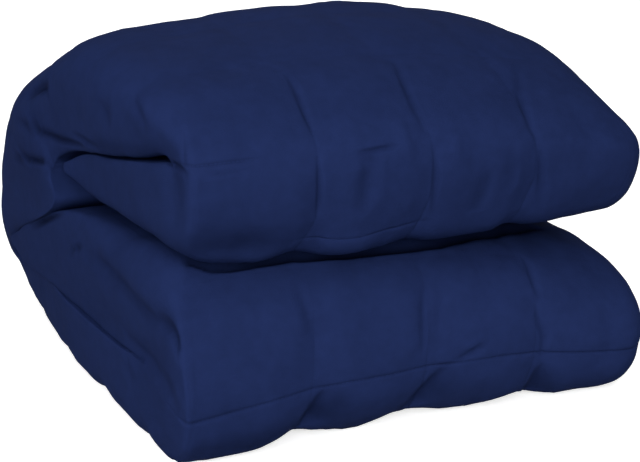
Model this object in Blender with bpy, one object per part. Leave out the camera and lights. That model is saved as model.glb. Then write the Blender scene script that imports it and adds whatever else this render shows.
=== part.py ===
"""Weighted blanket, folded: a quilted strip with both ends turned in and then doubled over.

The strip runs, as one filled solid, from the end that is tucked between the two halves,
forward and up round the front of the upper half, back over the crown, down round the back
fold, forward along the floor, up round the front of the lower half and back inside.
+X is the width (left to right seen from the front), +Y the depth (front to back), +Z up.
The origin is at the middle of the footprint, on the floor.  Units are metres.
"""

import bpy
import numpy as np

CM = 0.01

# ---- driving dimensions, in centimetres ----
SQUARE = 10.16            # side of one sewn square, four inches
FOLDED_SQUARE = 10.05     # a square's length where the strip bends round a fold
GATHERED_SQUARE = 7.7     # and on the turned-in end, where the rows are pushed together
FIRST_SEAM_X = -0.9       # the seam down the left edge
FRONT_SEAM = 35.0         # how far along the strip the seam on the upper front lies
SEAM_HALF_WIDTH = 1.5     # of the valley that a seam pulls in
LEFT_ROUNDING = 4.2       # how far the outer face turns in at the left edge
RIGHT_ROUNDING = 5.4
RIGHT_TUCK = 2.0
OUTER_FULLNESS = 0.72     # of the right edge: 1 is an ellipse, less is blunter
INNER_FULLNESS = 0.5
SWELL_POWER = 1.45        # more than 1 moves the swelling to the right of the middle
DROOP_POWER = 1.9         # how late across the width the right end starts to droop
VALLEY_DEPTH = 0.4        # groove along the left side of the lower half
VALLEY_WIDTH = 0.3        # as a share of the half thickness there
FLAT_BELOW = 0.12         # what comes this near to the floor lies on it

# ---- resolution ----
STATIONS = 86             # rings along the strip
FACE_POINTS = 22          # points across one face of the strip
EDGE_POINTS = 4           # points round a quarter of an edge
SPAN_POINTS = 24          # fine points between two rows of the table

# ---- the fold, one row for each bend or run of the strip, in centimetres ----
# out and in are where the strip's outer and inner face lie in the side view, left of middle.
# At the right end both lie further back by "back", and lower by "out_drop" and "in_drop".
# left and right are the strip's edges.  swell is how far the outer face bulges in the middle of
# its width, and puff the depth of its seams.  The two roundings scale LEFT_ROUNDING and
# RIGHT_ROUNDING, corner is the left edge's fullness, and tuck how far the inner face turns in.
COLUMNS = ("out_y", "out_z", "in_y", "in_z", "back", "out_drop", "in_drop", "left", "right",
           "swell", "puff", "round_left", "round_right", "corner", "tuck")
FOLD = (
    ("turned-in end",     27.0, 16.4, 27.6, 17.7, -3.2, 3.9, 2.3, -2.3, 41.0,  0.0, 0.1, 0.7, 1.0, 0.7, 1.0),
    ("end run, back",     22.3, 16.4, 21.5, 20.5, -1.8, 3.7, 2.6, -2.4, 41.6,  0.0, 0.3, 0.9, 1.0, 0.7, 1.0),
    ("end run, middle",   14.6, 16.4, 13.5, 22.0, -0.3, 3.3, 2.4, -2.5, 42.0,  0.0, 0.4, 0.9, 1.0, 0.7, 1.0),
    ("end run, front",     8.2, 16.4,  8.0, 23.1,  0.2, 2.4, 2.4, -2.4, 42.2,  0.6, 0.5, 1.2, 0.9, 0.7, 1.0),
    ("upper underside",    1.4, 16.1,  4.2, 23.8,  1.3, 0.3, 2.4, -2.0, 41.8,  0.8, 0.6, 1.0, 0.8, 0.8, 1.0),
    ("upper front",       -1.0, 20.0,  2.9, 24.0,  2.0, 0.6, 2.5, -1.4, 41.6,  0.3, 0.5, 0.42, 0.8, 0.5, 1.0),
    ("upper brow",        -0.7, 25.3,  4.4, 24.3,  2.5, 3.4, 2.4, -1.4, 41.5,  0.4, 0.5, 0.42, 0.9, 0.5, 1.4),
    ("top, front",         4.0, 28.3,  8.0, 23.6,  3.0, 3.8, 2.2, -2.2, 41.5,  1.0, 0.4, 1.0, 1.0, 0.7, 2.0),
    ("top, middle",       14.2, 30.0, 15.0, 22.5,  0.7, 2.9, 2.2, -3.2, 42.0,  2.0, 0.4, 1.4, 1.0, 0.7, 2.4),
    ("crown",             23.8, 30.1, 23.0, 21.1,  1.2, 2.8, 2.3, -3.4, 42.0,  2.3, 0.4, 1.7, 1.1, 0.7, 2.2),
    ("top, back",         33.2, 26.8, 29.2, 18.7,  0.0, 1.4, 2.2, -3.6, 42.4,  1.2, 0.4, 1.6, 1.2, 0.7, 1.6),
    ("shoulder",          42.1, 22.3, 29.2, 17.2, -1.2, 1.6, 2.2, -4.3, 42.4,  0.3, 0.4, 1.2, 1.2, 0.7, 1.0),
    ("back fold",         49.2, 14.0, 28.0, 15.3, -1.6, 1.0, 2.0, -4.4, 42.3,  0.0, 0.5, 1.0, 1.0, 0.7, 1.0),
    ("back fold, low",    48.8,  6.6, 34.6, 12.8, -1.6, 0.2, 0.9, -4.5, 42.4,  0.0, 0.5, 0.8, 0.8, 0.7, 0.8),
    ("heel",              44.0,  1.6, 43.2,  7.3, -2.2, 0.0, 0.7, -2.9, 42.4,  0.0, 0.5, 0.6, 0.6, 0.7, 1.0),
    ("floor, back",       35.0,  0.0, 37.0,  5.3, -1.4, 0.0, 0.8, -3.1, 42.2,  0.0, 0.5, 0.6, 0.5, 0.7, 0.8),
    ("floor, middle",     24.0,  0.0, 25.0,  5.7, -0.6, 0.0, 1.0, -3.7, 42.0,  0.0, 0.6, 0.6, 0.5, 0.7, 0.8),
    ("floor, front",      12.2,  0.0, 13.0,  6.2, -0.1, 0.0, 1.1, -3.4, 41.6,  0.0, 0.8, 0.6, 0.5, 0.7, 0.8),
    ("lower underside",    2.2,  0.0,  8.1,  6.3, -2.6, 0.0, 1.2, -2.6, 40.2, -0.7, 1.2, 0.5, 0.5, 0.7, 1.0),
    ("lower front, low",  -1.2,  2.6,  6.6,  6.6, -2.0, 1.0, 1.3, -2.6, 40.5, -0.6, 1.1, 0.35, 0.6, 0.5, 1.0),
    ("lower brow",         0.6, 12.0,  8.1,  6.9, -1.4, 5.3, 1.4, -2.6, 41.2,  0.0, 0.5, 0.4, 0.7, 0.5, 1.0),
    ("lower top, front",   4.3, 15.8, 12.6,  6.7,  1.0, 5.7, 1.1, -2.7, 42.0,  0.2, 0.4, 0.8, 0.8, 0.7, 1.0),
    ("lower top, middle", 13.8, 15.6, 21.0,  6.3,  0.0, 4.9, 1.0, -2.9, 42.2,  0.0, 0.4, 0.8, 1.0, 0.7, 0.8),
    ("lower top, back",   24.0, 15.2, 29.5,  6.2,  0.0, 5.0, 0.9, -2.8, 42.3,  0.0, 0.4, 0.6, 1.0, 0.7, 0.6),
    ("inner run, back",   33.5, 12.1, 36.5,  6.2, -1.2, 2.6, 0.8, -2.6, 42.0,  0.0, 0.3, 0.4, 1.0, 0.7, 0.4),
    ("inner end",         40.2,  8.0, 40.0,  6.9, -2.4, 0.7, 0.6, -2.4, 41.4,  0.0, 0.1, 0.4, 1.0, 0.7, 0.4),
)
FOLD_LEFT = min(row[1 + COLUMNS.index("left")] for row in FOLD)
FOLD_RIGHT = max(row[1 + COLUMNS.index("right")] for row in FOLD)

# ---- how the seams wander: how much further along the strip a seam lies than its even place,
# at the left edge, the left third, the right third and the right edge, in centimetres ----
WANDER = (
    ("turned-in end",    0.0, 0.0, 0.0, 0.0),
    ("upper underside",  0.5, 0.6, 0.3, -0.5),
    ("upper front",      1.2, 1.4, 1.2, 0.0),
    ("top, front",       0.4, 0.6, 0.4, 0.0),
    ("crown",            0.0, 0.4, 0.2, 0.0),
    ("heel",             0.0, 0.0, 0.0, 0.0),
    ("floor, front",    -0.6, 0.0, 0.0, 0.0),
    ("lower underside",  0.2, 1.5, 2.5, 2.0),
    ("lower front, low", 1.0, 2.8, 4.6, 3.6),
    ("lower brow",       1.0, 1.5, 2.0, 2.0),
    ("lower top, back",  0.0, 0.0, 0.0, 0.0),
    ("inner end",        0.0, 0.0, 0.0, 0.0),
)
WANDER_AT = (0.0, 0.33, 0.67, 1.0)

VALLEY_FROM = "lower front, low"
VALLEY_TO = "lower top, back"

COLOUR = (0.013, 0.022, 0.078)
ROUGHNESS = 0.92


def clear_scene():
    """Remove whatever objects the scene starts with."""
    for obj in list(bpy.data.objects):
        bpy.data.objects.remove(obj, do_unlink=True)


def column(rows, name):
    """One named column of the table, or of the smooth rows read from it."""
    return rows[..., COLUMNS.index(name)]


def smooth_rows():
    """A centripetal Catmull-Rom curve through the table's rows, all columns at once."""
    rows = np.array([row[1:] for row in FOLD], dtype=float)
    points = np.vstack([2 * rows[0] - rows[1], rows, 2 * rows[-1] - rows[-2]])
    chords = np.linalg.norm(np.diff(points[:, :2], axis=0), axis=1)
    knots = np.concatenate([[0.0], np.cumsum(chords ** 0.5)])
    spans = []
    for i in range(len(rows) - 1):
        p0, p1, p2, p3 = points[i:i + 4]
        t0, t1, t2, t3 = knots[i:i + 4]
        t = np.linspace(t1, t2, SPAN_POINTS, endpoint=False)[:, None]
        a1 = (t1 - t) / (t1 - t0) * p0 + (t - t0) / (t1 - t0) * p1
        a2 = (t2 - t) / (t2 - t1) * p1 + (t - t1) / (t2 - t1) * p2
        a3 = (t3 - t) / (t3 - t2) * p2 + (t - t2) / (t3 - t2) * p3
        b1 = (t2 - t) / (t2 - t0) * a1 + (t - t0) / (t2 - t0) * a2
        b2 = (t3 - t) / (t3 - t1) * a2 + (t - t1) / (t3 - t1) * a3
        spans.append((t2 - t) / (t2 - t1) * b1 + (t - t1) / (t2 - t1) * b2)
    return np.vstack(spans + [rows[-1:]])


ROWS = smooth_rows()
ALONG = np.concatenate([[0.0], np.cumsum(np.linalg.norm(np.diff(ROWS[:, :2], axis=0), axis=1))])
ROW_NAMES = [row[0] for row in FOLD]


def place_of(name):
    """How far along the strip a named row of the fold lies."""
    return ALONG[min(ROW_NAMES.index(name) * SPAN_POINTS, len(ALONG) - 1)]


def rows_at(along):
    """The table's columns at any places along the strip."""
    return np.stack([np.interp(along, ALONG, ROWS[:, k]) for k in range(ROWS.shape[1])], axis=-1)


def wandering(place, width_share):
    """How far a seam strays along the strip, read from the table in both directions."""
    places = [place_of(row[0]) for row in WANDER]
    by_place = [np.interp(place, places, [row[1 + k] for row in WANDER]) for k in range(4)]
    return sum(
        by_place[k] * np.clip(1 - np.abs(width_share - WANDER_AT[k]) * 3, 0.0, 1.0) for k in range(4))


def ring():
    """The closed ring round the strip, as three arrays with one value for each of its points.

    It goes across the outer face to the right, round the right edge, back across the inner
    face, and round the left edge.  across is 0 at the left edge and 1 at the right.  turn is
    0 on the outer face, pi on the inner, and between at the edges.  edge is 1 round the right
    edge, -1 round the left and 0 elsewhere.
    """
    face = np.linspace(0.0, 1.0, FACE_POINTS, endpoint=False)
    turn = np.linspace(0.0, np.pi, 2 * EDGE_POINTS, endpoint=False)
    across = np.concatenate([face, 0 * turn + 1, 1 - face, 0 * turn])
    turn = np.concatenate([0 * face, turn, 0 * face + np.pi, np.pi - turn])
    edge = np.repeat([0.0, 1.0, 0.0, -1.0], (len(face), 2 * EDGE_POINTS) * 2)
    return across, turn, edge


def edge_shape(rows, turn, edge):
    """How far each ring point stands in from the edge, as a share, and its side: 1 on the outer
    face, -1 on the inner.  Each quarter is a blunt superellipse."""
    outer = turn <= np.pi / 2
    fullness = np.where(edge < 0, column(rows, "corner"), OUTER_FULLNESS)
    fullness = np.where(outer, fullness, INNER_FULLNESS)
    bend = np.where(outer, turn, np.pi - turn)
    away = 1 - np.sin(bend) ** fullness
    side = np.cos(bend).clip(0.0, 1.0) ** fullness * np.where(outer, 1, -1)
    return away, side


def puffed(distance):
    """0 on a seam and 1 away from it, a soft valley between."""
    return 1 - np.exp(-(distance / SEAM_HALF_WIDTH) ** 2)


def to_nearest(values, pitch):
    """The distance of each value to the nearest multiple of the pitch."""
    return np.abs((values + pitch / 2) % pitch - pitch / 2)


def valley(along, side):
    """The groove along the left side of the lower half, 0 to 1, fading at both its ends."""
    start, stop = place_of(VALLEY_FROM), place_of(VALLEY_TO)
    share = np.clip((along - start) / (stop - start), 0.0, 1.0)
    return np.sin(np.pi * share) ** 0.5 * np.exp(-((side + 0.15) / VALLEY_WIDTH) ** 2)


def strip_points():
    """All points of the strip, stations by ring points by three, in centimetres.

    A point's side view place is middle + side * half, where middle and half are the mean and
    half the difference of the outer and the inner face there.  Both faces slide from their
    left places to their drooped ones as the DROOP_POWER of the share of the width.
    """
    across, turn, edge = ring()
    places = np.linspace(0.0, ALONG[-1], STATIONS)[:, None]
    rows = rows_at(np.clip(places + wandering(places, across), 0.0, ALONG[-1]))
    away, side = edge_shape(rows, turn, edge)
    outer = turn <= np.pi / 2
    left_inset = np.where(outer, LEFT_ROUNDING * column(rows, "round_left"), column(rows, "tuck"))
    right_inset = np.where(outer, RIGHT_ROUNDING * column(rows, "round_right"), RIGHT_TUCK)
    left, right = column(rows, "left"), column(rows, "right")
    x = left + left_inset + across * (right - right_inset - left - left_inset)
    x = np.where(edge < 0, left + left_inset * away, x)
    x = np.where(edge > 0, right - right_inset * away, x)
    width_share = np.clip((x - FOLD_LEFT) / (FOLD_RIGHT - FOLD_LEFT), 0.0, 1.0)
    droop = width_share ** DROOP_POWER
    out_y = column(rows, "out_y") + droop * column(rows, "back")
    out_z = column(rows, "out_z") - droop * column(rows, "out_drop")
    in_y = column(rows, "in_y") + droop * column(rows, "back")
    in_z = column(rows, "in_z") - droop * column(rows, "in_drop")
    run_y, run_z = np.gradient(out_y, axis=0), np.gradient(out_z, axis=0)
    length = np.hypot(run_y, run_z) + 1e-9
    inner_seam = np.abs(x - FIRST_SEAM_X - 2 * SQUARE) < 1.5 * SQUARE
    across_seam = np.where(inner_seam, to_nearest(x - FIRST_SEAM_X, SQUARE), SQUARE)
    pitch = np.where(places < FRONT_SEAM, GATHERED_SQUARE, FOLDED_SQUARE)
    along_seam = to_nearest(places - FRONT_SEAM, pitch)
    pulled = (1 - puffed(across_seam) * puffed(along_seam)) * column(rows, "puff")
    swell = column(rows, "swell") * np.sin(np.pi * width_share ** SWELL_POWER)
    groove = VALLEY_DEPTH * valley(places, side)
    x = x + np.where(edge < 0, pulled * (1 - np.abs(side)) + groove, 0.0)
    x = x - np.where(edge > 0, pulled * (1 - np.abs(side)), 0.0)
    out_y, out_z = out_y - swell * run_z / length, out_z + swell * run_y / length
    pull = pulled * np.clip(side, 0.0, 1.0)
    y = (out_y + in_y) / 2 + side * (out_y - in_y) / 2 + pull * run_z / length
    z = (out_z + in_z) / 2 + side * (out_z - in_z) / 2 - pull * run_y / length
    z = np.where(z < FLAT_BELOW, 0.0, z)
    return np.stack([x, y, z], axis=-1)


def strip_faces(stations, around):
    """Quads between neighbouring rings, and quads across the ring that closes each end."""
    faces = []
    for i in range(stations - 1):
        for j in range(around):
            k = (j + 1) % around
            faces.append((i * around + j, i * around + k, (i + 1) * around + k, (i + 1) * around + j))
    apex = around - EDGE_POINTS
    for first, flip in ((0, True), ((stations - 1) * around, False)):
        for j in range(around // 2):
            loop = [apex + j, apex + j + 1, apex - j - 1, apex - j]
            loop = [first + number % around for number in loop]
            face = list(dict.fromkeys(loop))
            faces.append(tuple(face[::-1] if flip else face))
    return faces


def fabric():
    """Matt navy cloth."""
    material = bpy.data.materials.new("blanket")
    material.use_nodes = True
    shader = material.node_tree.nodes["Principled BSDF"]
    shader.inputs["Base Color"].default_value = (*COLOUR, 1.0)
    shader.inputs["Roughness"].default_value = ROUGHNESS
    shader.inputs["Metallic"].default_value = 0.0
    return material


def blanket(collection):
    """The whole folded blanket, moved so that its footprint is centred on the origin."""
    points = strip_points()
    stations, around = points.shape[:2]
    flat = points.reshape(-1, 3) * CM
    low, high = flat.min(axis=0), flat.max(axis=0)
    middle = (low + high) / 2
    flat = flat - np.array([middle[0], middle[1], low[2]])
    mesh = bpy.data.meshes.new("blanket")
    mesh.from_pydata(flat.tolist(), [], strip_faces(stations, around))
    mesh.shade_smooth()
    mesh.materials.append(fabric())
    obj = bpy.data.objects.new("blanket", mesh)
    collection.objects.link(obj)
    return obj


def main():
    clear_scene()
    collection = bpy.data.collections.new("weighted_blanket")
    bpy.context.scene.collection.children.link(collection)
    blanket(collection)


main()
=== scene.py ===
"""The looks of the folded weighted blanket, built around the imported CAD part.

The blanket is one long quilted strip, folded in thirds across its width, with both ends
turned in and then doubled over.  Its fold began as the CAD solid's, and its table was then
moved after the photograph.  The surface is worked out on a fine grid whose lines follow the
sewn seams, and gets its pillowed squares, stitched channels, creases and soft wrinkles.
"""

import bpy
import numpy as np
from mathutils import Matrix, Vector
from mathutils.bvhtree import BVHTree


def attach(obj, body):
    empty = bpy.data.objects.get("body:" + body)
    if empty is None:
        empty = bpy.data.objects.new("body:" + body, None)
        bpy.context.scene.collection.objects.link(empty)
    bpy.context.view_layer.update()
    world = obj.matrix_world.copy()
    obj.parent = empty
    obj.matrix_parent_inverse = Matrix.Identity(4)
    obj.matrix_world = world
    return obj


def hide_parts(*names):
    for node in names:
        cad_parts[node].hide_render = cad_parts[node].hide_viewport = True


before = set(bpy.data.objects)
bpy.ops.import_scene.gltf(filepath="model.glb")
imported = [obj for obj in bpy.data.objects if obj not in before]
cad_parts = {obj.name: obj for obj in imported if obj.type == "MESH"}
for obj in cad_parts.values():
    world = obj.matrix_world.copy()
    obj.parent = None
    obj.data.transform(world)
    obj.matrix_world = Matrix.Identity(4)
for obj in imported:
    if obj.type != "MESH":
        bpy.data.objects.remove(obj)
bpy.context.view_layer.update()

CM = 0.01
MM = 0.001

# ---- the photograph's view, in metres and degrees; the picture is 640 by 462 ----
PICTURE_WIDTH = 640
PICTURE_HEIGHT = 462
SENSOR = 36.0             # millimetres
FOCAL_PIXELS = 1447.5     # focal length in the picture's own pixels
CAMERA_PLACE = (-0.554, -1.193, 0.521)
CAMERA_AZIMUTH = 25.76    # to the left of straight ahead
CAMERA_PITCH = 17.75      # looking down

# ---- driving dimensions of the fold, in centimetres, most of them as in the CAD part ----
SQUARE = 10.16            # side of one sewn square, four inches
FOLDED_SQUARE = 10.05     # a square's length where the strip bends round a fold
GATHERED_SQUARE = 7.7     # and on the turned-in end, where the rows are pushed together
FIRST_SEAM_X = -0.9       # the seam down the left edge
FRONT_SEAM = 34.1         # how far along the strip the seam on the upper front lies
LEFT_ROUNDING = 4.2       # how far the outer face turns in at the left edge
RIGHT_ROUNDING = 5.4
RIGHT_TUCK = 2.0          # how far the inner face turns in at the right edge
OUTER_FULLNESS = 0.72     # of the right edge; the left edge's is the column "corner"
INNER_FULLNESS = 0.5
SWELL_POWER = 1.4         # more than 1 moves the swelling to the right of the middle
DROOP_POWER = 1.9         # how late across the width the right end starts to droop
FLAT_BELOW = 0.12         # what comes this near to the floor lies on it

# out and in are where the strip's outer and inner face lie in the side view, left of middle.
# At the right end both lie further back by "back", and lower by "out_drop" and "in_drop".
# left and right are the strip's edges.  swell is how far the outer face bulges in the middle of
# its width, and puff the depth of its seams.  The two roundings scale LEFT_ROUNDING and
# RIGHT_ROUNDING, corner is the left edge's fullness, and tuck how far the inner face turns in.
COLUMNS = ("out_y", "out_z", "in_y", "in_z", "back", "out_drop", "in_drop", "left", "right",
           "swell", "puff", "round_left", "round_right", "corner", "tuck")
FOLD = (
    ("turned-in end",     25.6, 17.5, 25.8, 18.8, -3.2, 3.9, 2.3, -3.1, 41.0,  0.0, 0.1, 0.7, 1.0, 0.7, 0.5),
    ("end run, back",     22.3, 16.4, 21.3, 20.5, -1.8, 3.7, 2.6, -2.7, 41.6,  0.0, 0.3, 0.9, 1.0, 0.7, 0.4),
    ("end run, middle",   14.6, 16.4, 13.5, 21.9, -0.3, 3.3, 2.4, -2.5, 42.0,  0.0, 0.4, 0.9, 1.0, 0.7, 0.6),
    ("end run, front",     8.2, 16.4,  8.0, 23.0,  0.2, 2.4, 2.4, -2.4, 42.2,  0.6, 0.5, 1.2, 0.7, 0.7, 0.7),
    ("upper underside",    1.4, 16.1,  4.2, 23.8,  1.3, 0.3, 2.4, -2.0, 41.8,  0.8, 0.6, 1.5, 0.55, 0.8, 1.0),
    ("upper front",       -1.0, 20.0,  2.8, 24.1,  2.0, 0.6, 2.5, -1.4, 41.6,  0.3, 0.5, 0.42, 0.6, 0.5, 1.0),
    ("upper brow",        -0.7, 25.3,  4.2, 24.3,  2.5, 3.4, 2.4, -1.4, 41.5,  0.4, 0.5, 0.42, 0.9, 0.5, 1.4),
    ("top, front",         4.0, 28.3,  8.0, 23.3,  3.0, 3.8, 2.2, -2.2, 41.5,  1.0, 0.4, 1.0, 1.0, 0.7, 1.5),
    ("top, middle",       14.2, 30.0, 15.0, 22.0,  0.7, 2.9, 2.2, -3.2, 42.0,  2.0, 0.4, 1.4, 1.0, 0.7, 1.2),
    ("crown",             23.8, 30.1, 23.0, 20.4,  1.2, 2.8, 2.3, -3.4, 42.0,  2.4, 0.4, 1.7, 1.1, 0.7, 0.8),
    ("top, back",         33.2, 26.8, 27.0, 18.8,  0.0, 1.4, 2.2, -3.6, 42.4,  1.2, 0.4, 1.6, 1.2, 0.7, 0.5),
    ("shoulder",          42.1, 22.3, 26.9, 17.5, -1.2, 1.6, 2.2, -4.3, 42.4,  0.3, 0.4, 1.2, 1.2, 0.7, 0.6),
    ("back fold",         49.2, 14.0, 26.0, 14.7, -1.6, 1.0, 2.0, -4.4, 42.3,  0.0, 0.5, 1.0, 1.0, 0.7, 0.25),
    ("back fold, low",    48.8,  6.6, 33.6, 11.1, -1.6, 0.2, 0.9, -4.5, 42.4,  0.0, 0.5, 0.8, 0.8, 0.7, 0.1),
    ("heel",              44.0,  1.6, 44.8,  6.7, -2.2, 0.0, 0.7, -3.0, 42.4,  0.0, 0.5, 0.6, 0.6, 0.7, 0.15),
    ("floor, back",       35.0,  0.0, 37.0,  6.1, -1.4, 0.0, 0.8, -3.3, 42.2,  0.0, 0.5, 0.6, 0.5, 0.7, 0.2),
    ("floor, middle",     24.0,  0.0, 25.0,  6.2, -0.6, 0.0, 1.0, -3.9, 42.0,  0.0, 0.6, 0.6, 0.5, 0.7, 0.3),
    ("floor, front",      12.2,  0.0, 13.0,  6.6, -0.1, 0.0, 1.1, -3.6, 41.6,  0.0, 0.8, 0.6, 0.5, 0.7, 0.3),
    ("lower underside",    1.3,  0.0,  8.1,  6.6, -2.6, 0.0, 1.2, -2.8, 40.2, -0.3, 0.9, 0.5, 0.85, 0.7, 0.1),
    ("lower front, low",  -1.5,  4.2,  7.0,  6.6, -2.0, 1.3, 1.3, -2.7, 40.5, -0.2, 0.8, 0.3, 0.75, 0.5, 0.1),
    ("lower brow",        -0.1, 12.9,  8.1,  6.7, -1.4, 5.3, 1.4, -2.7, 41.2,  0.0, 0.5, 0.32, 0.7, 0.5, 0.2),
    ("lower top, front",   2.6, 15.9, 12.6,  6.6,  1.0, 6.1, 1.1, -3.2, 42.0,  0.2, 0.4, 0.8, 0.8, 0.7, 0.3),
    ("lower top, middle", 13.8, 16.0, 21.0,  6.3,  0.0, 5.3, 1.0, -3.5, 42.2,  0.0, 0.4, 0.65, 1.0, 0.7, 0.4),
    ("lower top, back",   24.5, 14.7, 29.5,  6.2,  0.0, 5.0, 0.9, -3.9, 42.3,  0.0, 0.4, 0.2, 1.0, 0.5, 0.4),
    ("inner run, back",   34.3, 11.0, 36.5,  6.1, -1.2, 2.6, 0.8, -4.4, 42.0,  0.0, 0.3, 0.03, 1.0, 0.45, 0.2),
    ("inner end",         42.8,  7.2, 41.6,  6.5, -2.4, 0.7, 0.6, -4.3, 41.4,  0.0, 0.1, 0.15, 1.0, 0.5, 0.15),
)
FOLD_LEFT = min(row[1 + COLUMNS.index("left")] for row in FOLD)
FOLD_RIGHT = max(row[1 + COLUMNS.index("right")] for row in FOLD)
SPAN_POINTS = 24          # fine points between two rows of the table

# ---- how the seams wander: how much further along the strip a seam lies than its even place,
# at the left edge, the left third, the right third and the right edge, in centimetres ----
WANDER = (
    ("turned-in end",    0.0, 0.0, 0.0, 0.0),
    ("upper underside",  0.5, 0.6, 0.3, -0.5),
    ("upper front",     -0.6, -0.6, 0.4, 0.0),
    ("top, front",       0.4, 0.6, 0.4, 0.0),
    ("crown",            0.0, 0.4, 0.2, 0.0),
    ("heel",             0.0, 0.0, 0.0, 0.0),
    ("floor, front",    -0.6, 0.0, 0.0, 0.0),
    ("lower underside", -0.4, 0.6, 1.0, 0.6),
    ("lower front, low", -0.2, 1.1, 1.8, 1.0),
    ("lower brow",       1.0, 1.5, 2.0, 2.0),
    ("lower top, back",  0.0, 0.0, 0.0, 0.0),
    ("inner end",        0.0, 0.0, 0.0, 0.0),
)
WANDER_AT = (0.0, 0.33, 0.67, 1.0)
# how far the seams along the strip lean to the right there, in centimetres
LEAN = (
    ("end run, front",     0.0),
    ("upper underside",   -1.1),
    ("upper front",        0.0),
    ("floor, front",       0.0),
    ("lower underside",   -1.3),
    ("lower front, low",  -0.7),
    ("lower brow",         0.0),
)

# ---- resolution ----
SQUARE_STEPS = 26         # grid steps across one square
FACE_SPANS = 4            # of the outer face, between its edges and its three middle seams
FINE_STATIONS = 30        # grid steps along one of the squares in view
PLAIN_STATIONS = 18       # and along one of the others
FINE_SQUARES = ((-1.0, 4.0), (11.0, 15.0))   # the squares in view, counted along the strip
EDGE_STEPS_LEFT = 20      # grid steps round a quarter of the left edge
EDGE_STEPS_RIGHT = 14
INNER_STEPS = 20          # across the hidden inner face
FEWEST_STEPS = 6          # along the short piece at either end of the strip
CROWDING = 0.72           # how much closer together the grid's lines are at a seam

# ---- relief, in centimetres ----
PILLOW_WIDTH = 1.5        # half width of the valley between two filled squares
PLUMP_WIDTH = 1.6         # how much wider it is between the plumpest squares
PILLOW_SHARE = 0.6        # of the column "puff" that a flat square's valley has
PLUMP_FROM = 0.5          # a square counts as plump from this "puff" on
PLUMP_RANGE = 0.8         # and is the plumpest at this much more
UNEVEN_SIZE = 3.0         # of the lumps that make the stitched channels uneven
UNEVEN_BASE = 0.6         # of a channel's depth, where the lumps are flat
UNEVEN_SHARE = 0.4        # of its depth that the lumps add or take
UNEVEN_SEED = 5
INNER_FACE_TURN = 3       # a ring point's turn past which it lies on the inner face
CHANNEL_DEPTH = 0.14      # of the narrow groove that the stitches pull in
CHANNEL_WIDTH = 0.22
# how deep the valleys and the stitched channels are, as shares, at the numbered seams across the
# strip, counted from the one on the upper front, and on the seams along the strip there; and
# from where to where across the strip, in centimetres, the stitches of the seam show
SEAM_COLUMNS = ("number", "valley", "channel", "long_valley", "long_channel", "from", "to")
SEAMS = (
    ("turned-in end",   -4, 0.6, 0.4, 0.6, 0.4, -9.0, 60.0),
    ("upper underside", -1, 0.15, 0.6, 1.3, 0.4, 10.0, 20.0),
    ("upper front",      0, 0.3, 0.9, 0.7, 0.2, -3.0, 4.5),
    ("upper brow",       1, 0.3, 0.1, 0.4, 0.05, -9.0, 60.0),
    ("crown",            3, 0.5, 0.1, 0.5, 0.1, -9.0, 60.0),
    ("shoulder",         5, 0.6, 0.3, 0.6, 0.3, -9.0, 60.0),
    ("heel",             8, 1.0, 0.6, 1.0, 0.6, -9.0, 60.0),
    ("floor",           11, 1.0, 0.6, 1.0, 0.5, -9.0, 60.0),
    ("lower front",     12, 0.3, 0.7, 1.0, 0.3, -9.0, 60.0),
    ("lower brow",      13, 0.1, 0.1, 0.5, 0.05, -9.0, 60.0),
    ("lower top",       14, 0.4, 0.2, 0.5, 0.2, -9.0, 60.0),
    ("inner end",       17, 0.6, 0.4, 0.6, 0.4, -9.0, 60.0),
)
SHOWN_SHARPNESS = 2.0     # of the ends of the stitches that show, per centimetre
EDGE_FADE = 0.08          # how much of a seam's valley is left in the middle of an edge
HIDDEN_SHARE = 0.2        # how much of all relief the inner face has, where cloth lies on cloth
# size and height of the soft lumps, and width, length and height of the ripples
LUMPS = ((6.0, 0.10), (2.6, 0.07), (1.2, 0.04))
RIPPLES = ((2.4, 11.0, 0.06), (1.1, 7.0, 0.03))
FIRST_LUMP_SEED = 20
FIRST_RIPPLE_SEED = 30
LATTICE = 29              # random values along each side of the lumps' lattice
SAME_WAY = 0.25           # a crease marks only cloth that faces about the way it does
# how softly each kind of crease runs out at its ends; a dart deepens evenly to its last end
END_FADES = {"trough": 0.6, "hollow": 0.6, "slit": 0.15}
CREASE_REACH = 3        # half widths from its line within which a crease is worked out
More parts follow.
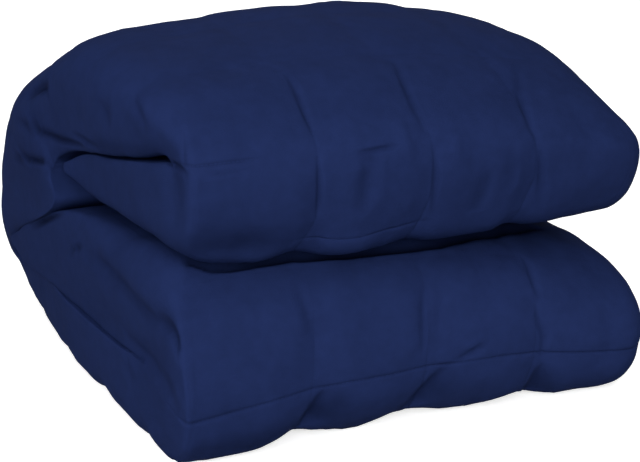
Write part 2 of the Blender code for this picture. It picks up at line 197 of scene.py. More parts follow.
# ---- creases: name, depth and half width in millimetres, how many times wider the trough is on
# the left of its line, its lip as a share of the depth, its kind, how much painted shade darkens
# the cloth's colour in it, and the pixels of the photograph that it runs through.  A negative
# depth makes a ridge.  The rows that are 0.3 to 0.5 deep are there only to paint shadow on the
# cloth: they are painted shadows, with next to no crease. ----
CREASES = (
    ("under the top layer, back", 4.5, 2.4, 1.5, 0.0, "trough", 0.60,
     ((16, 119), (30, 127), (44, 134), (58, 140), (72, 144), (84, 147))),
    ("top layer to the corner", 4.0, 2.6, 1.0, 0.0, "trough", 0.45,
     ((163, 158), (172, 164), (181, 169), (189, 177))),
    ("branch in the top layer", 3.0, 2.2, 1.5, 0.3, "trough", 0.25, ((72, 133), (84, 141), (97, 148))),
    ("wrinkle in the top layer", 3.0, 2.4, 2.0, 0.5, "trough", 0.12, ((97, 98), (105, 113), (118, 128))),
    ("slack in the top layer", 2.0, 4.0, 1.0, 0.4, "trough", 0.12, ((132, 98), (140, 115), (146, 130))),
    ("between the back layers", 5.0, 2.4, 1.5, -0.2, "trough", 0.65,
     ((14, 158), (28, 160), (42, 162), (54, 165), (62, 168))),
    ("tuck at the shoulder", 5.0, 3.8, 1.0, 0.1, "trough", 0.60, ((27, 98), (35, 91), (49, 84))),
    ("tuck at the shoulder, its side", 3.0, 2.0, 1.0, 0.2, "trough", 0.12, ((40, 88), (46, 92), (50, 97))),
    ("inside the back fold, upper", 3.0, 2.5, 1.0, 0.0, "trough", 0.35, ((62, 176), (71, 183), (79, 190))),
    ("inside the back fold, middle", 3.0, 2.5, 1.0, 0.0, "trough", 0.30, ((60, 188), (70, 192), (80, 190))),
    ("at the back fold's end", 4.0, 3.0, 1.0, 0.0, "trough", 0.60,
     ((31, 228), (42, 222), (52, 217), (62, 213))),
    ("valley of the lower half", 5.0, 6.0, 1.4, 0.0, "trough", 0.15,
     ((84, 256), (100, 266), (118, 284), (136, 307), (156, 324), (176, 338))),
    ("valley's end at the corner", 4.0, 3.5, 2.5, 0.0, "trough", 0.35,
     ((156, 322), (168, 330), (175, 342), (177, 356))),
    ("recess above the lower corner", 4.0, 9.0, 1.0, 0.0, "trough", 0.00,
     ((124, 336), (140, 352), (155, 370), (168, 390), (178, 412))),
    ("beside the lower corner", 1.5, 7.0, 1.0, 0.0, "trough", 0.00,
     ((178, 365), (180, 385), (182, 405), (183, 425))),
    ("beside the upper corner", 1.6, 2.5, 1.0, 0.0, "trough", 0.00, ((181, 120), (183, 145), (184, 168))),
    ("dimple", 4.0, 2.0, 1.0, 0.2, "trough", 0.40, ((70, 250), (76, 248), (82, 247))),
    ("faint dimple", 2.5, 3.0, 1.0, 0.0, "trough", 0.12, ((97, 262), (104, 269), (111, 276))),
    ("first upper seam", 2.2, 2.4, 1.0, 0.2, "trough", 0.12, ((287, 74), (297, 93), (304, 112), (313, 134))),
    ("first upper seam, low", 2.3, 2.4, 1.0, 0.15, "trough", 0.12, ((317, 156), (320, 180), (318, 216))),
    ("second upper seam", 2.3, 2.8, 1.3, 0.2, "trough", 0.12, ((394, 60), (404, 84), (414, 108), (426, 134))),
    ("second upper seam, low", 2.4, 2.2, 1.0, 0.15, "trough", 0.12,
     ((434, 146), (436, 175), (434, 205), (430, 238))),
    ("beside the second upper seam", -2.0, 4.0, 1.0, 0.0, "trough", 0.00,
     ((399, 122), (405, 138), (412, 156))),
    ("third upper seam", 2.4, 3.5, 1.0, 0.2, "trough", 0.12, ((517, 66), (520, 97), (530, 127), (538, 146))),
    ("third upper seam, low", 2.8, 3.0, 1.0, 0.3, "trough", 0.12, ((540, 152), (541, 185), (540, 212))),
    ("slack in the second square", 4.2, 4.0, 1.5, 0.1, "trough", 0.22, ((371, 151), (367, 176), (359, 216))),
    ("light fold in the second square", -2.0, 4.0, 1.0, 0.0, "trough", 0.00,
     ((384, 160), (382, 185), (374, 215))),
    ("dent in the front seam", 2.4, 1.8, 1.0, 0.4, "trough", 0.14, ((360, 153), (376, 150), (396, 146))),
    ("front seam, left", 1.6, 1.2, 1.0, -0.5, "trough", 0.10, ((188, 176), (215, 175), (250, 171))),
    ("slack in the third square", 3.0, 4.0, 1.0, 0.1, "trough", 0.20, ((488, 168), (483, 188), (475, 212))),
    ("light fold in the third square", -2.0, 3.5, 1.0, 0.0, "trough", 0.00,
     ((455, 125), (457, 150), (460, 190))),
    ("third square, edge", 2.6, 3.0, 1.0, 0.2, "trough", 0.12, ((509, 135), (512, 165), (509, 196))),
    ("hollow of the first square", 6.0, 14.0, 1.0, 0.0, "hollow", 0.05,
     ((190, 250), (220, 248), (255, 246), (295, 242))),
    ("first lower seam", 1.6, 3.5, 1.0, 0.3, "trough", 0.12, ((298, 285), (307, 315), (318, 340))),
    ("second lower seam", 2.0, 2.6, 1.0, 0.2, "trough", 0.12,
     ((424, 286), (423, 305), (423, 325), (423, 352))),
    ("beside the second lower seam", -1.0, 3.0, 1.0, 0.0, "trough", 0.00,
     ((433, 284), (434, 304), (434, 325))),
    ("third lower seam", 2.2, 3.0, 1.0, 0.15, "trough", 0.12, ((524, 256), (533, 280), (540, 300))),
    ("third lower seam, low", 2.4, 3.0, 1.0, 0.2, "trough", 0.12,
     ((535, 308), (541, 325), (545, 338), (541, 358))),
    # the gap under the upper half, and the band below it, carry painted shadow
    ("under the upper half", 5.0, 2.6, 5.0, 0.0, "slit", 0.85,
     ((185, 262), (213, 269), (235, 268), (262, 263), (292, 258), (320, 257), (352, 255), (385, 251),
      (415, 248), (440, 245), (465, 239), (489, 236), (512, 232), (540, 228))),
    ("shadow of the upper half", 0.5, 22.0, 1.0, 0.0, "slit", 0.18,
     ((185, 278), (230, 283), (292, 272), (352, 267), (415, 260), (465, 253), (540, 243))),
    ("under the second square", -5.0, 13.0, 1.0, 0.0, "trough", 0.00, ((318, 246), (348, 244), (380, 241))),
    ("belly of the first lower square", -4.0, 22.0, 1.0, 0.0, "trough", 0.00,
     ((205, 453), (250, 443), (292, 424))),
    ("under the second lower square", 3.0, 20.0, 1.0, 0.0, "trough", 0.00,
     ((318, 424), (360, 420), (404, 404))),
    ("under the third lower square", 3.0, 18.0, 1.0, 0.0, "trough", 0.00,
     ((425, 403), (460, 401), (490, 394))),
    ("belly of the third lower square", -4.0, 14.0, 1.0, 0.0, "trough", 0.00,
     ((495, 392), (512, 388), (532, 386))),
    ("first dart", 18.0, 2.5, 7.0, 0.0, "dart", 0.35, ((327, 388), (317, 401), (305, 416))),
    ("second dart", 18.0, 2.5, 7.0, 0.0, "dart", 0.35, ((450, 363), (433, 379), (415, 396))),
    ("third dart", 14.0, 2.5, 7.0, 0.0, "dart", 0.35, ((545, 362), (536, 374), (526, 386))),
    ("step in the lower seam", 5.0, 2.5, 1.0, 0.4, "trough", 0.12, ((462, 360), (472, 352), (482, 346))),
    # rows with next to no crease, which only paint shadow on the cloth
    ("beside the first dart", 0.3, 14.0, 1.0, 0.0, "trough", 0.30, ((316, 420), (332, 405), (347, 391))),
    ("beside the second dart", 0.3, 12.0, 1.0, 0.0, "trough", 0.22, ((426, 399), (444, 382), (458, 368))),
    ("beside the third dart", 0.3, 12.0, 1.0, 0.0, "trough", 0.18, ((534, 390), (545, 376), (553, 366))),
    ("underside of the first lower square", 0.3, 12.0, 1.0, 0.0, "trough", 0.34,
     ((192, 450), (215, 447), (245, 440), (290, 423))),
    ("shade over the turned-in end", 0.3, 7.0, 1.0, 0.0, "trough", 0.24,
     ((80, 141), (110, 147), (150, 150), (172, 154))),
    ("shade of the first square", 0.3, 16.0, 1.0, 0.0, "trough", 0.22, ((195, 238), (235, 244), (280, 240))),
    ("along the back fold's end", 1.5, 3.0, 1.0, 0.0, "trough", 0.22,
     ((49, 150), (53, 165), (56, 180), (58, 192))),
)

# ---- cloth: sizes in metres, shades as shares of the colour ----
CLOTH_COLOUR = (0.0124, 0.0222, 0.0815)
THREAD_PITCH = 0.0007     # of the weave
WEAVE_HEIGHT = 0.00004
NAP_HEIGHT = 0.0003
NAP_SHADE = 0.10
MOTTLE = 0.26
STITCH_LENGTH = 0.0035
THREAD_WIDTH = 0.0004
THREAD_HEIGHT = 0.0003
THREAD_SHADE = 0.35
# the stitched groove's half width, its bump, and how much painted shade darkens its colour
GROOVE_WIDTH = 0.0012
GROOVE_HEIGHT = 0.0006
GROOVE_PAINTED_SHADE = 0.24
STITCH_CUT = -0.55        # the sine's value over which a stitch shows: lower makes longer dashes
NAP_GRAIN = 700.0         # grains of the noise in a metre
NAP_DETAIL = 2.0
MOTTLES = ((28.0, 3.0), (110.0, 2.0))   # grains in a metre and detail of the two mottlings
CLOTH_ROUGHNESS = 0.92
CLOTH_SHINE = 0.01

# ---- studio, in metres and watts ----
FLOOR_REACH = 8.0         # from the middle to each side
FLOOR_WHITE = 0.9
FLOOR_ROUGHNESS = 0.9
FLOOR_GLOW = 0.62         # makes the floor as white as the photograph's ground
# the surroundings glow from the first strength at the first height to the second at the second
SKY_HEIGHTS = (0.1, 0.8)
SKY_STRENGTHS = (0.05, 0.50)
LIGHT_TARGET = (0.0, 0.0, 0.15)
# name, place, size and watts
LIGHTS = (
    ("front_light", (-0.9, -2.45, 0.8), 2.6, 95.0),
    ("back_light", (1.2, 2.6, 1.6), 1.8, 22.0),
    ("side_light", (-2.4, -0.5, 1.0), 1.4, 23.0),
)

# the middle of the footprint in the fold's own coordinates, in centimetres, as the CAD has it
FOOTPRINT_MIDDLE = (18.93, 23.42, 0.0)


def column(rows, name):
    """One named column of the smooth rows."""
    return rows[..., COLUMNS.index(name)]


def smooth_rows():
    """A centripetal Catmull-Rom curve through the table's rows, all columns at once."""
    rows = np.array([row[1:] for row in FOLD], dtype=float)
    points = np.vstack([2 * rows[0] - rows[1], rows, 2 * rows[-1] - rows[-2]])
    chords = np.linalg.norm(np.diff(points[:, :2], axis=0), axis=1)
    knots = np.concatenate([[0.0], np.cumsum(chords ** 0.5)])
    spans = []
    for i in range(len(rows) - 1):
        p0, p1, p2, p3 = points[i:i + 4]
        t0, t1, t2, t3 = knots[i:i + 4]
        t = np.linspace(t1, t2, SPAN_POINTS, endpoint=False)[:, None]
        a1 = (t1 - t) / (t1 - t0) * p0 + (t - t0) / (t1 - t0) * p1
        a2 = (t2 - t) / (t2 - t1) * p1 + (t - t1) / (t2 - t1) * p2
        a3 = (t3 - t) / (t3 - t2) * p2 + (t - t2) / (t3 - t2) * p3
        b1 = (t2 - t) / (t2 - t0) * a1 + (t - t0) / (t2 - t0) * a2
        b2 = (t3 - t) / (t3 - t1) * a2 + (t - t1) / (t3 - t1) * a3
        spans.append((t2 - t) / (t2 - t1) * b1 + (t - t1) / (t2 - t1) * b2)
    return np.vstack(spans + [rows[-1:]])


ROWS = smooth_rows()
ALONG = np.concatenate([[0.0], np.cumsum(np.linalg.norm(np.diff(ROWS[:, :2], axis=0), axis=1))])
ROW_NAMES = [row[0] for row in FOLD]


def place_of(name):
    """How far along the strip a named row of the fold lies."""
    return ALONG[min(ROW_NAMES.index(name) * SPAN_POINTS, len(ALONG) - 1)]


def rows_at(along):
    """The table's columns at any places along the strip."""
    return np.stack([np.interp(along, ALONG, ROWS[:, k]) for k in range(ROWS.shape[1])], axis=-1)


def crowded(count):
    """Shares from 0 to under 1, closer together at both ends: t - c sin(2 pi t) / (2 pi)."""
    share = np.arange(count) / count
    return share - CROWDING * np.sin(2 * np.pi * share) / (2 * np.pi)


def stations():
    """The grid's lines across the strip: places along it, and the cloth's own coordinate.

    Every seam across the strip is one of the lines.  The cloth coordinate counts the sewn
    squares, so that it is a whole multiple of SQUARE on each seam.
    """
    before = np.arange(-int(FRONT_SEAM / GATHERED_SQUARE), 0)
    after = np.arange(0, int((ALONG[-1] - FRONT_SEAM) / FOLDED_SQUARE) + 1)
    seams = np.concatenate([before * GATHERED_SQUARE, after * FOLDED_SQUARE]) + FRONT_SEAM
    counts = np.concatenate([before, after]).astype(float)
    knots = np.concatenate([[0.0], seams, [ALONG[-1]]])
    cloth = np.concatenate([[counts[0] - seams[0] / GATHERED_SQUARE], counts,
                            [counts[-1] + (ALONG[-1] - seams[-1]) / FOLDED_SQUARE]])
    places = []
    squares = []
    for i in range(len(knots) - 1):
        middle = (cloth[i] + cloth[i + 1]) / 2
        fine = any(first < middle < last for first, last in FINE_SQUARES)
        steps = FINE_STATIONS if fine else PLAIN_STATIONS
        share = crowded(max(FEWEST_STEPS, round(steps * (cloth[i + 1] - cloth[i]))))
        places.append(knots[i] + share * (knots[i + 1] - knots[i]))
        squares.append(cloth[i] + share * (cloth[i + 1] - cloth[i]))
    places.append(knots[-1:])
    squares.append(cloth[-1:])
    return np.concatenate(places), np.concatenate(squares) * SQUARE


def ring():
    """The closed ring round the strip: for each of its points a dictionary of shares.

    It goes across the outer face to the right, round the right edge, back across the inner
    face, and round the left edge.  span and share say between which two seams of the outer
    face a point lies and how far.  turn is 0 on the outer face, pi on the inner, and between
    at the edges.  edge is 1 round the right edge, -1 round the left and 0 elsewhere.
    """
    share = np.tile(crowded(SQUARE_STEPS), FACE_SPANS)
    span = np.repeat(np.arange(FACE_SPANS), SQUARE_STEPS)
    right = np.linspace(0.0, np.pi, 2 * EDGE_STEPS_RIGHT, endpoint=False)
    left = np.linspace(np.pi, 0.0, 2 * EDGE_STEPS_LEFT, endpoint=False)
    inner = np.linspace(1.0, 0.0, INNER_STEPS, endpoint=False)
    counts = (len(share), len(right), len(inner), len(left))
    return {
        "face": np.repeat([1.0, 0.0, 0.0, 0.0], counts),
        "edge": np.repeat([0.0, 1.0, 0.0, -1.0], counts),
        "span": np.concatenate([span, np.zeros(sum(counts[1:]), dtype=int)]),
        "share": np.concatenate([share, np.zeros(sum(counts[1:]))]),
        "across": np.concatenate([(span + share) / FACE_SPANS, right * 0 + 1, inner, left * 0]),
        "turn": np.concatenate([share * 0, right, inner * 0 + np.pi, left]),
    }


def wandering(place, width_share):
    """How far a seam strays along the strip, read from the table in both directions."""
    places = [place_of(row[0]) for row in WANDER]
    by_place = [np.interp(place, places, [row[1 + k] for row in WANDER]) for k in range(4)]
    return sum(
        by_place[k] * np.clip(1 - np.abs(width_share - WANDER_AT[k]) * 3, 0.0, 1.0) for k in range(4))


def leaning(places):
    """How far the seams along the strip lean to the right at each place along it."""
    return np.interp(places, [place_of(row[0]) for row in LEAN], [row[1] for row in LEAN])


def edge_shape(loop, rows):
    """How far each ring point stands in from the edge, as a share, and its side: 1 on the outer
    face, -1 on the inner.  Each quarter is a blunt superellipse."""
    outer = loop["turn"] <= np.pi / 2
    fullness = np.where(loop["edge"] < 0, column(rows, "corner"), OUTER_FULLNESS)
    fullness = np.where(outer, fullness, INNER_FULLNESS)
    bend = np.where(outer, loop["turn"], np.pi - loop["turn"])
    away = 1 - np.sin(bend) ** fullness
    side = np.cos(bend).clip(0.0, 1.0) ** fullness * np.where(outer, 1, -1)
    return away, side


def strip_surface(places, loop):
    """The smooth fold, without its quilting, as stations by ring points by three.

    A point's side view place is middle + side * half, where middle and half are the mean and
    half the difference of the outer and the inner face.  Both faces slide from their left
    places to their drooped ones as the DROOP_POWER of the share of the width.  Returns the
    points, the table's columns at each, and the side.
    """
    stray = wandering(places[:, None], loop["across"][None, :])
    rows = rows_at(np.clip(places[:, None] + stray, 0.0, ALONG[-1]))
    away, side = edge_shape(loop, rows)
    outer = loop["turn"] <= np.pi / 2
    inset_left = np.where(outer, LEFT_ROUNDING * column(rows, "round_left"), column(rows, "tuck"))
    inset_right = np.where(outer, RIGHT_ROUNDING * column(rows, "round_right"), RIGHT_TUCK)
    from_left = column(rows, "left") + inset_left
    from_right = column(rows, "right") - inset_right
    seams = FIRST_SEAM_X + SQUARE * np.arange(1, FACE_SPANS)
    lean = leaning(places)[:, None]
    knots = np.stack([from_left] + [0 * from_left + seam + lean for seam in seams] + [from_right])
    here = np.arange(len(loop["span"]))
    low = knots[loop["span"], :, here].T
    high = knots[loop["span"] + 1, :, here].T
    x = np.where(loop["face"] > 0, low + loop["share"] * (high - low),
                 from_left + loop["across"] * (from_right - from_left))
    x = np.where(loop["edge"] < 0, column(rows, "left") + inset_left * away, x)
    x = np.where(loop["edge"] > 0, column(rows, "right") - inset_right * away, x)
    width_share = np.clip((x - FOLD_LEFT) / (FOLD_RIGHT - FOLD_LEFT), 0.0, 1.0)
    droop = width_share ** DROOP_POWER
    swell = column(rows, "swell") * np.sin(np.pi * width_share ** SWELL_POWER)
    out_y = column(rows, "out_y") + droop * column(rows, "back")
    out_z = column(rows, "out_z") - droop * column(rows, "out_drop")
    in_y = column(rows, "in_y") + droop * column(rows, "back")
    in_z = column(rows, "in_z") - droop * column(rows, "in_drop")
    run_y, run_z = np.gradient(out_y, axis=0), np.gradient(out_z, axis=0)
    length = np.hypot(run_y, run_z) + 1e-9
    out_y, out_z = out_y - swell * run_z / length, out_z + swell * run_y / length
    y = (out_y + in_y) / 2 + side * (out_y - in_y) / 2
    z = (out_z + in_z) / 2 + side * (out_z - in_z) / 2
    return np.stack([x, y, z], axis=-1), rows, side


def outward(points):
    """Unit normals of the grid: the cross product of its two directions, ring first."""
    around = np.roll(points, -1, axis=1) - np.roll(points, 1, axis=1)
    forward = np.gradient(points, axis=0)
    normal = np.cross(around, forward)
    return normal / (np.linalg.norm(normal, axis=-1, keepdims=True) + 1e-9)


def across_cloth(points, loop, lean):
    """The cloth's own coordinate across the strip: x on the outer face, then the length round
    the edges, counted both ways from the outer face, with a seam at each multiple of SQUARE."""
    steps = np.linalg.norm(np.roll(points, -1, axis=1) - points, axis=-1)
    outer = int(loop["face"].sum())
    half = outer + 2 * EDGE_STEPS_RIGHT + INNER_STEPS // 2
    across = np.empty(points.shape[:2])
    across[:, :outer] = points[:, :outer, 0] - FIRST_SEAM_X - lean[:, None]
    for j in range(outer, half):
        across[:, j] = across[:, j - 1] + steps[:, j - 1]
    following = across[:, 0]
    for j in range(points.shape[1] - 1, half - 1, -1):
        across[:, j] = following - steps[:, j]
        following = across[:, j]
    return across


def lumps(coordinates, seed):
    """Soft random lumps from -1 to 1: random values at the corners of unit cubes, blended
    inside each cube with a smooth step along each of its axes."""
    values = np.random.default_rng(seed).uniform(-1, 1, (LATTICE,) * 3)
    cell = np.floor(coordinates).astype(int)
    inside = coordinates - cell
    inside = inside * inside * (3 - 2 * inside)
    total = np.zeros(coordinates.shape[:-1])
    for corner in np.ndindex(2, 2, 2):
        weight = np.prod(np.where(np.array(corner) > 0, inside, 1 - inside), axis=-1)
        index = (cell + np.array(corner)) % LATTICE
        total += weight * values[index[..., 0], index[..., 1], index[..., 2]]
    return total


def to_nearest(values, pitch):
    """The distance of each value to the nearest multiple of the pitch."""
    return np.abs((values + pitch / 2) % pitch - pitch / 2)


def pillowed(distance, width):
    """0 on a seam and 1 away from it, a soft valley between."""
    return 1 - np.exp(-(distance / width) ** 2)


def seam_share(squares, name):
    """One named column of the seams' table at any place, counted in squares."""
    numbers = [row[1] for row in SEAMS]
    return np.interp(squares, numbers, [row[1 + SEAM_COLUMNS.index(name)] for row in SEAMS])


def edge_share(loop, side):
    """How much of the relief is left: all of it on the faces, fading with the square of the
    side round the outer half of an edge, and EDGE_FADE of it on the inner half."""
    faded = np.where(side > 0, EDGE_FADE + (1 - EDGE_FADE) * side ** 2, EDGE_FADE)
    return np.where(loop["edge"] != 0, faded, 1.0)


def stitched(loop, side, across, cloth):
    """How deep the stitched channels are, as shares: along the strip's seams, and across it.
    Those across it show only between two places, with ends that fade as logistic curves."""
    at_edge = edge_share(loop, side)
    squares = cloth / SQUARE
    first, last = seam_share(squares, "from"), seam_share(squares, "to")
    shown = 1 / (1 + np.exp(SHOWN_SHARPNESS * (first - across)))
    shown = shown / (1 + np.exp(SHOWN_SHARPNESS * (across - last)))
    return (seam_share(squares, "long_channel") * at_edge,
            seam_share(squares, "channel") * at_edge * np.where(loop["turn"] < INNER_FACE_TURN, shown, 1.0))


def relief(points, rows, loop, side, across, cloth):
    """How far each point stands above the smooth fold, in centimetres.

    Valleys between the squares, wider where the squares are plumper, and the narrow channels
    that the stitches pull in, both faded round the edges and uneven along their length.
    """
    at_edge = edge_share(loop, side)
    open_to_air = np.where(loop["turn"] > INNER_FACE_TURN, HIDDEN_SHARE, 1.0)
    cloth = np.broadcast_to(cloth[:, None], across.shape)
    squares = cloth / SQUARE
    plump = np.clip((column(rows, "puff") - PLUMP_FROM) / PLUMP_RANGE, 0.0, 1.0)
    middle_seam = (across > SQUARE / 2) & (across < (FACE_SPANS - 0.5) * SQUARE)
    to_long = np.where(middle_seam, to_nearest(across, SQUARE), SQUARE)
    to_cross = to_nearest(cloth, SQUARE)
    uneven = UNEVEN_BASE + UNEVEN_SHARE * lumps(points / UNEVEN_SIZE, UNEVEN_SEED)
    width = PILLOW_WIDTH + PLUMP_WIDTH * plump
    dip_long = seam_share(squares, "long_valley") * (1 - pillowed(to_long, width))
    dip_cross = seam_share(squares, "valley") * (1 - pillowed(to_cross, PILLOW_WIDTH))
    valley = dip_long + dip_cross - dip_long * dip_cross
    height = -valley * column(rows, "puff") * at_edge * (PILLOW_SHARE + (1 - PILLOW_SHARE) * plump)
    long_share, cross_share = stitched(loop, side, across, cloth)
    channel = long_share * np.exp(-(to_long / CHANNEL_WIDTH) ** 2)
    channel = channel + cross_share * np.exp(-(to_cross / CHANNEL_WIDTH) ** 2)
    height = height - CHANNEL_DEPTH * channel * uneven
    return height * open_to_air, (long_share, cross_share)


def wrinkles(points, across, cloth, loop):
    """Soft unevenness of the filled cloth, in centimetres: lumps of three sizes, and long
    shallow ripples that run along the strip, as they do up and down its fronts."""
    cloth = np.broadcast_to(cloth[:, None], across.shape)
    total = np.zeros(across.shape)
    for number, (size, height) in enumerate(LUMPS):
        total += height * lumps(points / size, FIRST_LUMP_SEED + number)
    for number, (wide, long, height) in enumerate(RIPPLES):
        turned = np.stack([across / wide, cloth / long, loop["turn"] + 0 * cloth], axis=-1)
        total += height * lumps(turned, FIRST_RIPPLE_SEED + number)
    return total * np.where(loop["turn"] > INNER_FACE_TURN, HIDDEN_SHARE, 1.0)


def cloth_grid():
    """Every point of the blanket in centimetres, its normals, and the cloth's coordinates."""
    places, cloth = stations()
    loop = ring()
    points, rows, side = strip_surface(places, loop)
    across = across_cloth(points, loop, leaning(places))
    height, seams = relief(points, rows, loop, side, across, cloth)
    height = height + wrinkles(points, across, cloth, loop)
    points = points + outward(points) * height[..., None]
    return points, across, cloth, seams


def view_axes():
    """The camera's directions: ahead, to the right and up."""
    azimuth = np.radians(CAMERA_AZIMUTH)
    pitch = np.radians(CAMERA_PITCH)
    ahead = Vector((np.sin(azimuth) * np.cos(pitch), np.cos(azimuth) * np.cos(pitch), -np.sin(pitch)))
    to_right = Vector((np.cos(azimuth), -np.sin(azimuth), 0.0))
    return ahead, to_right, to_right.cross(ahead)


def seen_at(tree, pixel):
    """The place on the blanket, in metres, that the photograph shows at a pixel, and its normal."""
    ahead, to_right, upward = view_axes()
    aside = (pixel[0] - PICTURE_WIDTH / 2) / FOCAL_PIXELS
    above = (PICTURE_HEIGHT / 2 - pixel[1]) / FOCAL_PIXELS
    place, normal, _, _ = tree.ray_cast(Vector(CAMERA_PLACE), ahead + to_right * aside + upward * above)
    return place, normal


def pressed(points, normals, line, depth, width, wider, lip, kind):
    """The height of one crease at every point, in metres.

    It is a trough of the given depth and half width along the line, so many times wider on the
    line's left, with a raised lip there (or on the right, where lip is negative).  It runs out
    at its ends as a power of sin(pi t), but a dart deepens evenly to its last end.
    Distances are measured to the line's straight pieces.
    """
    places = np.array([place for place, _ in line])
    facing = np.array([normal for _, normal in line])
    steps = np.linalg.norm(np.diff(places, axis=0), axis=1)
    before = np.concatenate([[0.0], np.cumsum(steps)]) / steps.sum()
    height = np.zeros(points.shape[:-1])
    reach = CREASE_REACH * width * wider
    near = ((points > places.min(axis=0) - reach) & (points < places.max(axis=0) + reach)).all(axis=-1)
    spots = points[near]
    best = np.full(len(spots), np.inf)
    strength = np.zeros(len(spots))
    across = np.zeros(len(spots))
    share = np.zeros(len(spots))
    for k in range(len(places) - 1):
        run = places[k + 1] - places[k]
        middle_facing = (facing[k] + facing[k + 1]) / 2
        along = np.clip(((spots - places[k]) @ run) / (run @ run), 0.0, 1.0)
        offset = spots - (places[k] + along[:, None] * run)
        distance = np.linalg.norm(offset, axis=1)
        closer = distance < best
        best = np.where(closer, distance, best)
        side = np.sign(offset @ np.cross(middle_facing, run))
        across = np.where(closer, distance * side, across)
        share = np.where(closer, before[k] + along * (before[k + 1] - before[k]), share)
        agree = np.clip((normals[near] @ middle_facing - SAME_WAY) / (1 - SAME_WAY), 0.0, 1.0)
        strength = np.where(closer, agree, strength)
    fade = share if kind == "dart" else np.sin(np.pi * share).clip(0.0, 1.0) ** END_FADES[kind]
    breadth = np.where(across > 0, width * wider * (share if kind == "dart" else 1.0) + 1e-6, width)
    trough = -np.exp(-(across / breadth) ** 2)
    raised = abs(lip) * np.exp(-((across - np.sign(lip) * 2 * width) / width) ** 2)
    height[near] = depth * (trough + raised) * fade * strength
    return height


def creased(points):
    """The blanket with the photograph's creases pressed into it, each at its own pixels.

    Troughs and slits are pressed against the surface.  Darts and hollows are pushed straight
    away from the camera, which leaves the outline as it is.  Also returns the painted shade at
    each point: how much the cloth's colour is darkened where shade falls in the creases and
    gaps, the largest of the creases' painted darks there, each scaled by its own depth.
    """
    quads = grid_quads(*points.shape[:2])
    tree = BVHTree.FromPolygons(points.reshape(-1, 3).tolist(), quads.tolist())
    normals = outward(points)
    ahead = np.array(view_axes()[0])
    moved = points.copy()
    # how much painted shade darkens the cloth's colour at each point
    shade = np.zeros(points.shape[:2])
    for name, depth, width, wider, lip, kind, painted_dark, pixels in CREASES:
        line = [seen_at(tree, pixel) for pixel in pixels]
        if any(place is None for place, _ in line):
            print("crease not on the blanket:", name)
            continue
        height = pressed(points, normals, line, depth * MM, width * MM, wider, lip, kind)
        moved += height[..., None] * (-ahead if kind in ("dart", "hollow") else normals)
        # painted shade at the bottom of the crease, standing in for its shadow
        shade = np.maximum(shade, painted_dark * np.clip(-height / (depth * MM), 0.0, 1.0))
    moved[..., 2] = np.maximum(moved[..., 2], 0.0)
    return moved, shade


def placed(points):
    """The points in metres, flat on the floor, with the footprint's middle where the CAD's is."""
    points = points.copy()
    points[..., 2] = np.where(points[..., 2] < FLAT_BELOW, 0.0, points[..., 2])
    return (points - FOOTPRINT_MIDDLE) * CM


def grid_quads(count, around):
    """The grid's quads, each as its four vertex numbers, facing outwards."""
    i, j = np.meshgrid(np.arange(count - 1), np.arange(around), indexing="ij")
    k = (j + 1) % around
    corners = (i * around + j, i * around + k, (i + 1) * around + k, (i + 1) * around + j)
    return np.stack(corners, axis=-1).reshape(-1, 4)


def quilt_mesh(points, across, cloth, shares):
    """The closed mesh: quads between neighbouring rings and across each end's ring, with the
    cloth coordinates as its UV map, and the seams' shares and the creases' painted shade as
    attributes."""
    count, around = points.shape[:2]
    quads = grid_quads(count, around)
    apex = around - EDGE_STEPS_LEFT
    caps = []
    for first, flip in ((0, True), ((count - 1) * around, False)):
        for n in range(around // 2):
            numbers = (apex + n, apex + n + 1, apex - n - 1, apex - n)
            corners = list(dict.fromkeys(first + number % around for number in numbers))
            caps.append(corners[::-1] if flip else corners)
    mesh = bpy.data.meshes.new("quilted_blanket")
    mesh.from_pydata(points.reshape(-1, 3), [], quads.tolist() + caps)
    u = across.reshape(-1)
    v = np.repeat(cloth, around)
    loops = np.empty(len(mesh.loops), dtype=np.int64)
    mesh.loops.foreach_get("vertex_index", loops)
    uv = np.stack([u[loops], v[loops]], axis=-1)
    mesh.uv_layers.new(name="cloth").data.foreach_set("uv", uv.ravel())
    # the attribute shade carries the creases' painted shade
    for name, share in zip(("long_seam", "cross_seam", "shade"), shares):
        values = share.reshape(-1).astype(np.float32)
        mesh.attributes.new(name, "FLOAT", "POINT").data.foreach_set("value", values)
    mesh.shade_smooth()
    return mesh


def camera():
    """The photograph's view: a long lens, a little to the left of the front and above it."""
    ahead, to_right, upward = view_axes()
    data = bpy.data.cameras.new("camera")
    data.sensor_width = SENSOR
    data.lens = FOCAL_PIXELS / PICTURE_WIDTH * SENSOR
    obj = bpy.data.objects.new("camera", data)
    turn = Matrix((to_right, upward, -ahead)).transposed().to_4x4()
    obj.matrix_world = Matrix.Translation(CAMERA_PLACE) @ turn
    bpy.context.collection.objects.link(obj)
    bpy.context.scene.camera = obj


class Signal:
    """A value in a material, worked on with Python's own operators."""

    def __init__(self, shader, socket):
        self.shader = shader
        self.socket = socket

    def math(self, operation, other=None):
        operands = [self] if other is None else [self, other]
        return self.shader.add("ShaderNodeMath", {"operation": operation}, *operands)

    def __add__(self, other):
        return self.math("ADD", other)

    __radd__ = __add__

    def __sub__(self, other):
        return self.math("SUBTRACT", other)

    def __rsub__(self, other):
        return self * -1 + other

    def __mul__(self, other):
        return self.math("MULTIPLY", other)

    __rmul__ = __mul__

    def __truediv__(self, other):
        return self.math("DIVIDE", other)

    def nearest(self, pitch):
        """The distance to the nearest multiple of the pitch."""
        return self.math("PINGPONG", pitch / 2)

    def hump(self, width):
        """1 where the value is 0, and falling as exp(-(value / width)^2)."""
        return (self / width).math("POWER", 2).math("MULTIPLY", -1).math("EXPONENT")


